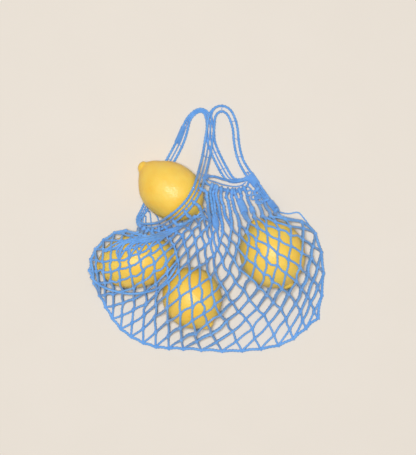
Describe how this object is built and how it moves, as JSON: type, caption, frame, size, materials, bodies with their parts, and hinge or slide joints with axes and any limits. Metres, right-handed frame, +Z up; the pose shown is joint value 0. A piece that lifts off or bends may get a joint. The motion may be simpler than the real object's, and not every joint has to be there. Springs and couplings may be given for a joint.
{
  "type": "string bag of lemons",
  "caption": "Open-mesh cotton string bag lying on its back, filled with lemons, its soft handles laid out above the gathered mouth.",
  "frame": {"origin": "middle of the footprint, on the floor that the bag lies on", "axes": "+Z up off the floor, +Y from the foot of the bag to its handles, +X across the bag, to the right as its shown side is looked at"},
  "size_m": [0.2322, 0.2466, 0.0697],
  "materials": {
    "net_cord": "soft matt cotton cord",
    "handle_tape": "soft matt cotton cord",
    "lemon_peel": "dimpled, slightly waxy peel"
  },
  "bodies": {
    "root": {"net_bag": "net_cord", "net_back": "net_cord", "handle_front": "handle_tape", "handle_back": "handle_tape", "hem_front": "handle_tape", "lemon_mouth": "lemon_peel"}
  },
  "joints": []
}
